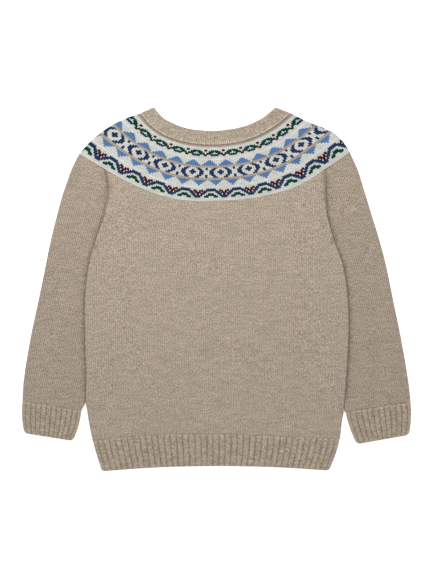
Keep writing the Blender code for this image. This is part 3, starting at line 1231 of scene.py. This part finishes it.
    def build_inside(
        self,
        edges: list[tuple[Array, Columns]],
        left: list[int],
        right: list[int],
        places: list[Line],
    ) -> None:
        """Adds the inner face and closes it to the outer one.

        Args:
            edges: Points and columns of the first and the last outer line.
            left: Numbers of the first point of every outer line.
            right: Numbers of the last point of every outer line.
            places: Every outer line.
        """
        (top, top_columns), (bottom, bottom_columns) = edges
        marks = np.unique(np.linspace(0, len(places) - 1, INNER_LINES).round().astype(int)).tolist()
        same = len(self.bands) == 1
        lines = []
        for n, k in enumerate(marks):
            columns = top_columns if same or n < len(marks) // 2 else bottom_columns
            end = k in (0, len(places) - 1)
            lines.append((self.inner_line(columns, places[k], end), columns))
        for (above, over), (below, under) in zip(lines, lines[1:]):
            if over is under:
                quads = np.stack([above[:-1], above[1:], below[1:], below[:-1]], axis=-1)
                self.faces.extend(quads.tolist())
                self.shades.extend(["c" if self.yarns else END_YARN] * len(quads))
            else:
                before = len(self.faces)
                self.zip_lines(above, over.each_repeat(), below, under.each_repeat(), "c")
                self.faces[before:] = [face[::-1] for face in self.faces[before:]]
        self.close_end(top, lines[0][0], top_columns.step, True)
        self.close_end(bottom, lines[-1][0], bottom_columns.step, False)
        if self.cut is not Cut.ROUND:
            for n, (a, b) in enumerate(zip(marks, marks[1:])):
                for side, k in ((left, 0), (right, -1)):
                    inner = [int(lines[n + 1][0][k]), int(lines[n][0][k])]
                    face = [*side[a : b + 1], *inner]
                    self.faces.append(face[::-1] if k == 0 else face)
                    self.shades.append(END_YARN)

    def make_object(self) -> bpy.types.Object:
        """Makes the object from the stored points and faces.

        Returns:
            The object, with its faces outward.
        """
        points = np.concatenate(self.points) * MM
        marks, hollows = np.concatenate(self.marks), np.concatenate(self.hollows)
        mesh = bpy.data.meshes.new(self.name)
        mesh.from_pydata(points.tolist(), [], self.faces)
        corners = np.empty(len(mesh.loops), int)
        mesh.loops.foreach_get("vertex_index", corners)
        mesh.uv_layers.new(name="stitches").data.foreach_set("uv", marks[corners].ravel())
        # The hollow attribute carries the painted shade and painted highlight into the colour
        hollow = mesh.attributes.new("hollow", "FLOAT", "POINT")
        hollow.data.foreach_set("value", hollows.astype(np.float32))
        if self.yarns:
            sizes = np.array([len(face) for face in self.faces])
            loose = {yarn.lower(): yarn for yarn in self.yarns if yarn.isupper()}
            colours = np.array([(*self.yarns[loose.get(shade, shade)], 1.0) for shade in self.shades])
            yarn = mesh.attributes.new("yarn", "FLOAT_COLOR", "CORNER")
            yarn.data.foreach_set("color", np.repeat(colours, sizes, axis=0).astype(np.float32).ravel())
        piece = bpy.data.objects.new(self.name, mesh)
        bpy.context.scene.collection.objects.link(piece)
        bpy.ops.object.select_all(action="DESELECT")
        piece.select_set(True)
        bpy.context.view_layer.objects.active = piece
        bpy.ops.object.mode_set(mode="EDIT")
        bpy.ops.mesh.select_all(action="SELECT")
        bpy.ops.mesh.remove_doubles(threshold=MERGE_DISTANCE)
        bpy.ops.mesh.normals_make_consistent(inside=False)
        bpy.ops.object.mode_set(mode="OBJECT")
        bpy.ops.object.shade_smooth_by_angle(angle=math.radians(SMOOTH_DEGREES))
        piece.select_set(False)
        return piece

    def flat_size(self) -> tuple[tuple[float, float], float]:
        """Measures the flat cloth in metres, without its stitches' relief.

        Returns:
            The width and length, and the area. On a tube the width and the area go all round.
        """
        down_lines, across_lines = FLAT_LINES
        along = np.linspace(0.0, 1.0, down_lines)
        faces = {Cut.ROUND: (1.0, -1.0), Cut.UPPER: (1.0,), Cut.UNDER: (-1.0,)}[self.cut]
        area, length = 0.0, 0.0
        for face in faces:
            place, down = np.meshgrid(np.linspace(0.0, 1.0, across_lines), along)
            nothing = np.zeros_like(place)
            grid, _ = self.surface(np.full_like(place, face), place, down, nothing, nothing)
            falling, rising = grid[1:, 1:] - grid[:-1, :-1], grid[1:, :-1] - grid[:-1, 1:]
            area += float(np.linalg.norm(np.cross(falling, rising), axis=-1).sum()) / 2
            length = max(length, float(np.linalg.norm(grid[1:] - grid[:-1], axis=-1).sum(axis=0).max()))
        width = float(self.widths.max()) * len(faces)
        return (width * MM, length * MM), area * MM * MM


def linear(code: str) -> tuple[float, float, float]:
    """Turns an sRGB hex colour into linear red, green and blue."""
    values = [int(code[k : k + 2], 16) / 255 for k in (1, 3, 5)]
    # These numbers are the ones that sRGB itself is defined by
    return tuple(v / 12.92 if v <= 0.04045 else ((v + 0.055) / 1.055) ** 2.4 for v in values)


def add_node(
    tree: bpy.types.NodeTree, kind: str, settings: dict, links: dict | None = None
) -> bpy.types.Node:
    """Adds a node to a material.

    Args:
        tree: The material's node tree.
        kind: The node's type, without the leading ShaderNode.
        settings: Values by input name or number, or by the node's own property.
        links: Outputs by input name or number.

    Returns:
        The new node.
    """
    node = tree.nodes.new(f"ShaderNode{kind}")
    for key, value in settings.items():
        if isinstance(key, int) or key in node.inputs:
            node.inputs[key].default_value = value
        else:
            setattr(node, key, value)
    for key, output in (links or {}).items():
        tree.links.new(output, node.inputs[key])
    return node


@dataclass(frozen=True)
class WoolKnit:
    """Knitted wool: a matt yarn of mixed fibres, with a soft bloom of loose hairs.

    The darkest and lightest flecks multiply its shade. A streak of the mixture is given by its
    size across and by how much it is squeezed, so that a small squeeze makes it long.
    """

    name: str
    slot: str
    shade: str | None
    dark: tuple[float, float, float] = (0.69, 0.675, 0.645)
    light: tuple[float, float, float] = (1.3, 1.315, 1.345)
    grain_mm: float = 1.7
    grain_roughness: float = 0.6
    fleck_range: tuple[float, float] = (0.36, 0.64)
    streak_mm: float = 3.5
    streak_squeeze: float = 0.3
    streak_range: tuple[float, float] = (0.3, 0.7)
    streak_tones: tuple[float, float] = (0.9, 1.1)
    noise_detail: float = 2.0
    hollow_shade: float = 0.66
    gleam: float = 1.9
    leg_bump: float = 0.35
    leg_height: float = 0.0004
    leg_curve: float = 8.0
    fuzz: float = 0.25
    roughness: float = 0.95
    specular: float = 0.2
    bloom: float = 0.12
    bloom_roughness: float = 0.6

    def material(self) -> bpy.types.Material:
        """Makes the material.

        Returns:
            The material, whose colour comes from its shade or from the yarn of each stitch.
        """
        material = bpy.data.materials.new(self.name)
        material.use_nodes = True
        tree = material.node_tree
        shader = tree.nodes["Principled BSDF"]
        shader.inputs["Roughness"].default_value = self.roughness
        shader.inputs["Specular IOR Level"].default_value = self.specular
        shader.inputs["Sheen Weight"].default_value = self.bloom
        shader.inputs["Sheen Roughness"].default_value = self.bloom_roughness
        coords = add_node(tree, "TexCoord", {})
        place = {"Vector": coords.outputs["Object"]}
        # Fibres of several browns are spun together, so the yarn is flecked at every stitch
        grain = {"Scale": 1 / (self.grain_mm * MM), "Roughness": self.grain_roughness}
        fibre = add_node(tree, "TexNoise", {**grain, "Detail": self.noise_detail}, place)
        low, high = self.fleck_range
        spread = add_node(tree, "MapRange", {1: low, 2: high}, {0: fibre.outputs["Fac"]})
        flecks = {"data_type": "RGBA", 6: (*self.dark, 1.0), 7: (*self.light, 1.0)}
        fleck = add_node(tree, "Mix", flecks, {0: spread.outputs["Result"]})
        # The yarn's mixture drifts slowly along each row
        rows = add_node(tree, "Mapping", {"Scale": (self.streak_squeeze, 1.0, 1.0)}, place)
        streaks = {"Scale": 1 / (self.streak_mm * MM), "Detail": self.noise_detail}
        drift = add_node(tree, "TexNoise", streaks, {"Vector": rows.outputs["Vector"]})
        tones = dict(zip((1, 2, 3, 4), (*self.streak_range, *self.streak_tones)))
        tone = add_node(tree, "MapRange", tones, {0: drift.outputs["Fac"]})
        # Painted shade where light is lost between the loops, and a painted highlight where a loop that is
        # drawn out catches it
        depth = add_node(tree, "Attribute", {"attribute_name": "hollow"})
        shaded = add_node(tree, "MapRange", {3: 1.0, 4: self.hollow_shade}, {0: depth.outputs["Fac"]})
        gleam = {1: -1.0, 2: 0.0, 3: self.gleam, 4: 1.0}
        lit = add_node(tree, "MapRange", gleam, {0: depth.outputs["Fac"]})
        multiplied = {0: shaded.outputs["Result"], 1: lit.outputs["Result"]}
        hollow = add_node(tree, "Math", {"operation": "MULTIPLY"}, multiplied)
        both = {0: tone.outputs["Result"], 1: hollow.outputs[0]}
        value = add_node(tree, "Math", {"operation": "MULTIPLY"}, both)
        grey = add_node(tree, "CombineColor", {}, {k: value.outputs[0] for k in range(3)})
        multiply = {"data_type": "RGBA", "blend_type": "MULTIPLY", 0: 1.0}
        tint = add_node(tree, "Mix", multiply, {6: fleck.outputs[2], 7: grey.outputs["Color"]})
        colour = add_node(tree, "Mix", multiply, {7: tint.outputs[2]})
        if self.shade:
            colour.inputs[6].default_value = (*linear(self.shade), 1.0)
        else:
            yarn = add_node(tree, "Attribute", {"attribute_name": "yarn"})
            tree.links.new(yarn.outputs["Color"], colour.inputs[6])
        tree.links.new(colour.outputs[2], shader.inputs["Base Color"])
        bump = self.loops(tree, fibre)
        tree.links.new(bump.outputs["Normal"], shader.inputs["Normal"])
        return material

    def loops(self, tree: bpy.types.NodeTree, fibre: bpy.types.Node) -> bpy.types.Node:
        """Raises the two slanting legs of every stitch, counted by the piece's UV map.

        Args:
            tree: The material's node tree.
            fibre: The noise of its fibres.

        Returns:
            The bump node.
        """

        def step(operation: str, settings: dict, links: dict) -> bpy.types.NodeSocket:
            """The result of one sum."""
            return add_node(tree, "Math", {"operation": operation, **settings}, links).outputs[0]

        stitches = add_node(tree, "UVMap", {"uv_map": "stitches"})
        parts = add_node(tree, "SeparateXYZ", {}, {0: stitches.outputs["UV"]})
        inside = step("FRACT", {}, {0: parts.outputs["X"]})
        off = step("ABSOLUTE", {}, {0: step("SUBTRACT", {1: 0.5}, {0: inside})})
        slant = step("MULTIPLY_ADD", {1: 2 * CHEVRON}, {0: off, 2: parts.outputs["Y"]})
        from_row = step("SUBTRACT", {1: 0.5}, {0: step("FRACT", {}, {0: slant})})
        squared = step("MULTIPLY", {}, {0: from_row, 1: from_row})
        from_leg = step("SUBTRACT", {1: 0.25}, {0: off})
        leg = step("MULTIPLY", {}, {0: from_leg, 1: from_leg})
        curve = step("MULTIPLY_ADD", {1: self.leg_curve}, {0: leg, 2: squared})
        fuzz = step("MULTIPLY", {1: self.fuzz}, {0: fibre.outputs["Fac"]})
        rise = step("SUBTRACT", {}, {0: fuzz, 1: curve})
        bump = {"Strength": self.leg_bump, "Distance": self.leg_height}
        return add_node(tree, "Bump", bump, {"Height": rise})


# Undyed wool, spun from fawn and brown fleece
PLAIN_WOOL = WoolKnit("melange_wool_stocking_stitch", "beige_stocking_stitch", "#B1A291")
# The sleeves take a darker copy of the same wool: painted shade, as less light falls on them
SHADED_SLEEVE_WOOL = WoolKnit("melange_wool_stocking_stitch_sleeve", "beige_stocking_stitch", "#AA9B8A")
# The ribs take a darker copy of the same wool: painted shade for the light lost between the raised ribs
SHADED_RIB_WOOL = WoolKnit("melange_wool_rib_painted_shade", "beige_rib", "#A79987", hollow_shade=0.6)
BAND_WOOL = WoolKnit("melange_wool_fine_rib", "beige_fine_rib", "#B0A291", hollow_shade=0.6)
# Dyed wools, stranded over cream
YOKE_WOOL = WoolKnit(
    "stranded_wool_stocking_stitch",
    "fair_isle_knit",
    None,
    dark=(0.86, 0.86, 0.86),
    light=(1.13, 1.13, 1.13),
    hollow_shade=0.7,
    specular=0.06,
    bloom=0.04,
)

# A letter of a chart is the yarn of a stitch: c cream, b beige, U blue, N navy, G green and
# R burgundy. A small n, g or r is the same yarn knitted more loosely, so that it covers more.
YARNS = {
    "c": linear("#CBCCC5"),
    "b": linear("#A39585"),
    "U": linear("#5678AA"),
    "N": linear("#203356"),
    "G": linear("#003D2F"),
    "R": linear("#4C0A16"),
}
DARK_YARNS = "NGRngr"
LOOSE_YARNS = "ngr"
# Plain pieces, and the ends and sides of every wall, are beige
END_YARN = "b"


def dress(maker: KnitPiece, finish: WoolKnit, node: str) -> bpy.types.Object:
    """Builds a piece, gives it its finish and ties it to the frame.

    Args:
        maker: The piece as it is laid out.
        finish: Its wool.
        node: The solid it stands for.

    Returns:
        The finished object.
    """
    piece = maker.build()
    piece.data.materials.append(bpy.data.materials.get(finish.name) or finish.material())
    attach(piece, "root")
    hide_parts(node)
    flat, area = maker.flat_size()
    cut = (flat[0] / MM, flat[1] / MM, area)
    log.info("%s: %d faces, cut %.0f by %.0f mm, %.4f m2", piece.name, len(piece.data.polygons), *cut)
    return piece


# A hem or cuff rib: its lines, and how it changes where it is linked on, with a painted highlight there
RIB_LINES = 24
RIB_LINK_RELIEF = 0.3
RIB_GLEAM = 0.5
RIB_GLEAM_AT = 1.2


def rib_lines(length: float) -> tuple[Line, ...]:
    """Lists the lines of a hem or cuff rib, which is shallow and gleams where it is linked on.

    Args:
        length: The rib's length.

    Returns:
        Its lines, in order.
    """
    rib = Lines(
        length,
        count=RIB_LINES,
        round_bottom=True,
        relief_top=RIB_LINK_RELIEF,
        gleam=RIB_GLEAM,
        gleam_at=RIB_GLEAM_AT,
    )
    return rib.lines()


@dataclass
class Body:
    """The plain body, back and front, and the hem rib of each."""

    stitches: int = 142
    length: float = 340.0
    back_lines: int = 100
    front_lines: int = 56
    hem_ribs: int = 41
    hem_length: float = 40.0

    def panel(self, cut: Cut, count: int) -> KnitPiece:
        """Lays out the back or the front.

        Args:
            cut: Which of them.
            count: Its number of lines.

        Returns:
            The panel, ready to be built.
        """
        upper = Layer(BodyPlan(0.0), folds(BACK_CREASES, Outline.climb))
        under = Layer(BodyPlan(1.0), folds(FRONT_CREASES, Outline.climb))
        band = Band(STOCKING, self.stitches, self.stitches, Lines(self.length, count).lines())
        name = "body_back_knit" if cut is Cut.UPPER else "body_front_knit"
        return KnitPiece(
            name, cut, upper, under, (band,), anchor=0.5, length=self.length, shadow=Outline.edge
        )

    def hem(self, cut: Cut) -> KnitPiece:
        """Lays out the hem rib of the back or the front.

        Args:
            cut: Which of them.

        Returns:
            The rib, ready to be built.
        """
        band = Band(RIB, self.hem_ribs, self.hem_ribs, rib_lines(self.hem_length))
        layer = Layer(HemPlan())
        name = "hem_back_rib" if cut is Cut.UPPER else "hem_front_rib"
        return KnitPiece(name, cut, layer, layer, (band,), round_bottom=True, length=self.hem_length)

    def make(self) -> list[bpy.types.Object]:
        """Makes the four pieces.

        Returns:
            The finished objects.
        """
        back, front = self.panel(Cut.UPPER, self.back_lines), self.panel(Cut.UNDER, self.front_lines)
        return [
            dress(front, PLAIN_WOOL, "body_front"),
            dress(back, PLAIN_WOOL, "body_back"),
            dress(self.hem(Cut.UNDER), SHADED_RIB_WOOL, "hem_front"),
            dress(self.hem(Cut.UPPER), SHADED_RIB_WOOL, "hem_back"),
        ]


@dataclass
class Sleeve:
    """A sleeve, folded along its outer edge, and its cuff."""

    hand: Hand
    stitches: int = 37
    length: float = 318.0
    count: int = 96
    cuff_ribs: int = 12
    cuff_length: float = 41.0

    def make(self) -> list[bpy.types.Object]:
        """Makes the sleeve and the cuff.

        Returns:
            The finished objects.
        """
        word = self.hand.word
        creases = LEFT_CREASES if self.hand is Hand.LEFT else RIGHT_CREASES
        sleeve = KnitPiece(
            f"sleeve_{word}_knit",
            Cut.ROUND,
            Layer(SleevePlan(self.hand, 0.0), folds(creases, Outline.press)),
            Layer(SleevePlan(self.hand, 1.0)),
            (Band(STOCKING, self.stitches, self.stitches, Lines(self.length, self.count).lines()),),
            anchor=0.0 if self.hand is Hand.LEFT else 1.0,
            length=self.length,
            shadow=Outline.contact,
        )
        layer = Layer(CuffPlan(self.hand))
        cuff = KnitPiece(
            f"cuff_{word}_rib",
            Cut.ROUND,
            layer,
            layer,
            (Band(RIB, self.cuff_ribs, self.cuff_ribs, rib_lines(self.cuff_length)),),
            round_bottom=True,
            length=self.cuff_length,
        )
        return [
            dress(sleeve, SHADED_SLEEVE_WOOL, f"sleeve_{word}"),
            dress(cuff, SHADED_RIB_WOOL, f"cuff_{word}"),
        ]


class BandRow(NamedTuple):
    """One charted band of the yoke, its stitches on the back and the front, and its first one."""

    rows: tuple[str, ...]
    upper: int
    under: int
    first: int


# The charts, from the neck down. A row of one letter is the same all round.
GARLAND = ("b", "b", "c", "c", "rccGGGcc", "ccggcggc", "cggcccgg", "rccnnncc", "c", "c")
PEAKS = ("Uccccccc", "UUcccccU", "UUUcccUU", "UUUUcUUU", "b")
DIAMONDS = (
    "ccNNcccNcccNNc",
    "cccNNccNccNNcc",
    "ncccnNcccNnccc",
    "nnccNNcccNNccn",
    "ncccnNcccNnccc",
    "cccNNccNccNNcc",
    "ccNNcccNcccNNc",
    "b",
)
DROPS = ("UUUUcUUU", "UUUcccUU", "UUcccccU", "Uccccccc", "c")
WAVE = (
    "c",
    "NNNcccccccccNN",
    "NNNNcrRcRrcNNN",
    "cccnncRRRcnncc",
    "GGccnncrcnnccG",
    "GGGccNNNNNccGG",
    "ccggccNNNccggc",
    "c",
    "c",
)
YOKE_BANDS = (
    BandRow(GARLAND, 85, 91, 38),
    BandRow(PEAKS, 104, 112, 49),
    BandRow(DIAMONDS, 117, 121, 61),
    BandRow(DROPS, 124, 132, 62),
    BandRow(WAVE, 149, 159, 72),
)


@dataclass
class Yoke:
    """The round yoke with its bands of colour, one ring folded flat along both shoulders."""

    strip_share: float = 0.0413
    strip_rows: int = 2
    rows: int = 35
    zip_gap: float = 0.46
    pinch: float = 0.13
    joined_relief: float = 0.3
    length: float = 71.0

    def line_place(self, row: float) -> float:
        """Finds how far down the yoke a row begins.

        Args:
            row: Rows counted from the seam, with the beige strip's rows.

        Returns:
            The share of the way down.
        """
        if row <= self.strip_rows:
            return self.strip_share * row / self.strip_rows
        return self.strip_share + (1 - self.strip_share) * (row - self.strip_rows) / self.rows

    def band(self, row: BandRow, start: int, last: bool) -> Band:
        """Lays out one band.

        Args:
            row: Its chart and counts.
            start: The number of its first row.
            last: Whether it ends at the yoke's lower edge.

        Returns:
            The band with a line at each row's edge and middle.
        """
        count = 2 * len(row.rows)
        lines = []
        for k in range(count + 1):
            at = start + k / 2
            if k == 0 and start:
                at += self.zip_gap
            if k == count and not last:
                at -= self.zip_gap
            sway = 0.0 if k in (0, count) else 0.5 if k in (1, count - 1) else 1.0
            pinch = 0.0 if k % 2 or k in (0, count) else self.pinch
            relief = self.joined_relief if k in (0, count) else 1.0
            lines.append(Line(self.line_place(at), sway, pinch, start + k / 2, relief))
        chart = tuple(text if len(text) > 1 else text * 2 for text in row.rows)
        return Band(STOCKING, row.upper, row.under, tuple(lines), chart, row.first)

    def make(self) -> list[bpy.types.Object]:
        """Makes the yoke.

        Returns:
            The finished object.
        """
        start, bands = 0, []
        for k, row in enumerate(YOKE_BANDS):
            bands.append(self.band(row, start, k == len(YOKE_BANDS) - 1))
            start += len(row.rows)
        piece = KnitPiece(
            "yoke_knit",
            Cut.ROUND,
            Layer(YokePlan(0.0), Outline.settle),
            Layer(YokePlan(1.0)),
            tuple(bands),
            yarns=YARNS,
            round_top=True,
            length=self.length,
        )
        return [dress(piece, YOKE_WOOL, "yoke")]


@dataclass
class Neckband:
    """The neckband of fine rib, folded double and linked to the yoke."""

    ribs_back: int = 90
    ribs_front: int = 102
    width: float = 18.0
    lines: int = 20
    link_relief: float = 1.3
    link_inward: float = 1.6
    link_gleam: float = 0.9
    link_width: float = 0.7

    def make(self) -> list[bpy.types.Object]:
        """Makes the neckband.

        Returns:
            The finished object.
        """
        lines = Lines(
            self.width,
            self.lines,
            round_top=True,
            round_bottom=True,
            relief_bottom=self.link_relief,
            gleam=self.link_gleam,
            gleam_at=self.width - self.link_inward,
            gleam_width=self.link_width,
        )
        piece = KnitPiece(
            "neckband_rib",
            Cut.ROUND,
            Layer(NeckPlan(0.0), Outline.settle),
            Layer(NeckPlan(1.0)),
            (Band(FINE_RIB, self.ribs_back, self.ribs_front, lines.lines()),),
            round_top=True,
            round_bottom=True,
            length=self.width,
        )
        return [dress(piece, BAND_WOOL, "neckband")]


@dataclass
class Studio:
    """A pale floor, soft light from above and the camera straight over the garment."""

    floor_size: float = 8.0
    floor_drop: float = 0.0003
    floor_white: float = 0.93
    floor_glow: float = 0.5
    air_strength: float = 0.85
    lamp_place: tuple[float, float, float] = (-0.1, 0.4, 0.6)
    lamp_size: tuple[float, float] = (0.5, 0.4)
    lamp_watts: float = 2.0
    camera_height: float = 2.4
    view_long_side: float = 0.7411
    sensor: float = 36.0
    aim: tuple[float, float] = (0.0, -0.0004)
    garment_top: float = 0.003
    clip: tuple[float, float] = (0.05, 50.0)

    def floor(self) -> None:
        """Makes the floor just under the cloth."""
        bpy.ops.mesh.primitive_plane_add(size=self.floor_size, location=(0.0, 0.0, -self.floor_drop))
        floor = bpy.context.object
        floor.name = "floor"
        bpy.ops.object.transform_apply(location=True, rotation=True, scale=True)
        material = bpy.data.materials.new("matt_white_board")
        material.use_nodes = True
        shader = material.node_tree.nodes["Principled BSDF"]
        shader.inputs["Base Color"].default_value = (*[self.floor_white] * 3, 1.0)
        shader.inputs["Roughness"].default_value = 1.0
        shader.inputs["Specular IOR Level"].default_value = 0.0
        shader.inputs["Emission Color"].default_value = (1.0, 1.0, 1.0, 1.0)
        shader.inputs["Emission Strength"].default_value = self.floor_glow
        floor.data.materials.append(material)

    def light(self) -> None:
        """Lights the garment evenly, a little more towards the neck and the left sleeve."""
        world = bpy.data.worlds.new("studio_air")
        bpy.context.scene.world = world
        world.use_nodes = True
        air = world.node_tree.nodes["Background"]
        air.inputs["Color"].default_value = (1.0, 1.0, 1.0, 1.0)
        air.inputs["Strength"].default_value = self.air_strength
        bpy.ops.object.light_add(type="AREA", location=self.lamp_place)
        lamp = bpy.context.object
        lamp.name = "soft_box"
        lamp.data.shape = "RECTANGLE"
        lamp.data.size, lamp.data.size_y = self.lamp_size
        lamp.data.energy = self.lamp_watts

    def camera(self) -> None:
        """Sets the camera square over the garment, the neck at the top of the picture."""
        place = (*self.aim, self.camera_height + self.garment_top)
        bpy.ops.object.camera_add(location=place, rotation=(0.0, 0.0, 0.0))
        camera = bpy.context.object
        camera.name = "camera"
        camera.data.sensor_width = self.sensor
        camera.data.lens = self.sensor * self.camera_height / self.view_long_side
        camera.data.clip_start, camera.data.clip_end = self.clip
        bpy.context.scene.camera = camera
        bpy.context.scene.view_settings.view_transform = "Standard"

    def make(self) -> None:
        """Makes the whole studio."""
        bpy.ops.object.select_all(action="DESELECT")
        self.floor()
        self.light()
        self.camera()


def main() -> None:
    """Builds the garment piece by piece, then the studio round it."""
    logging.basicConfig(level=logging.INFO, format="%(message)s")
    for part in (Sleeve(Hand.LEFT), Sleeve(Hand.RIGHT), Body(), Yoke(), Neckband()):
        pieces = part.make()
        log.info("%s done, %d pieces", type(part).__name__, len(pieces))
    Studio().make()


if __name__ == "__main__":
    main()
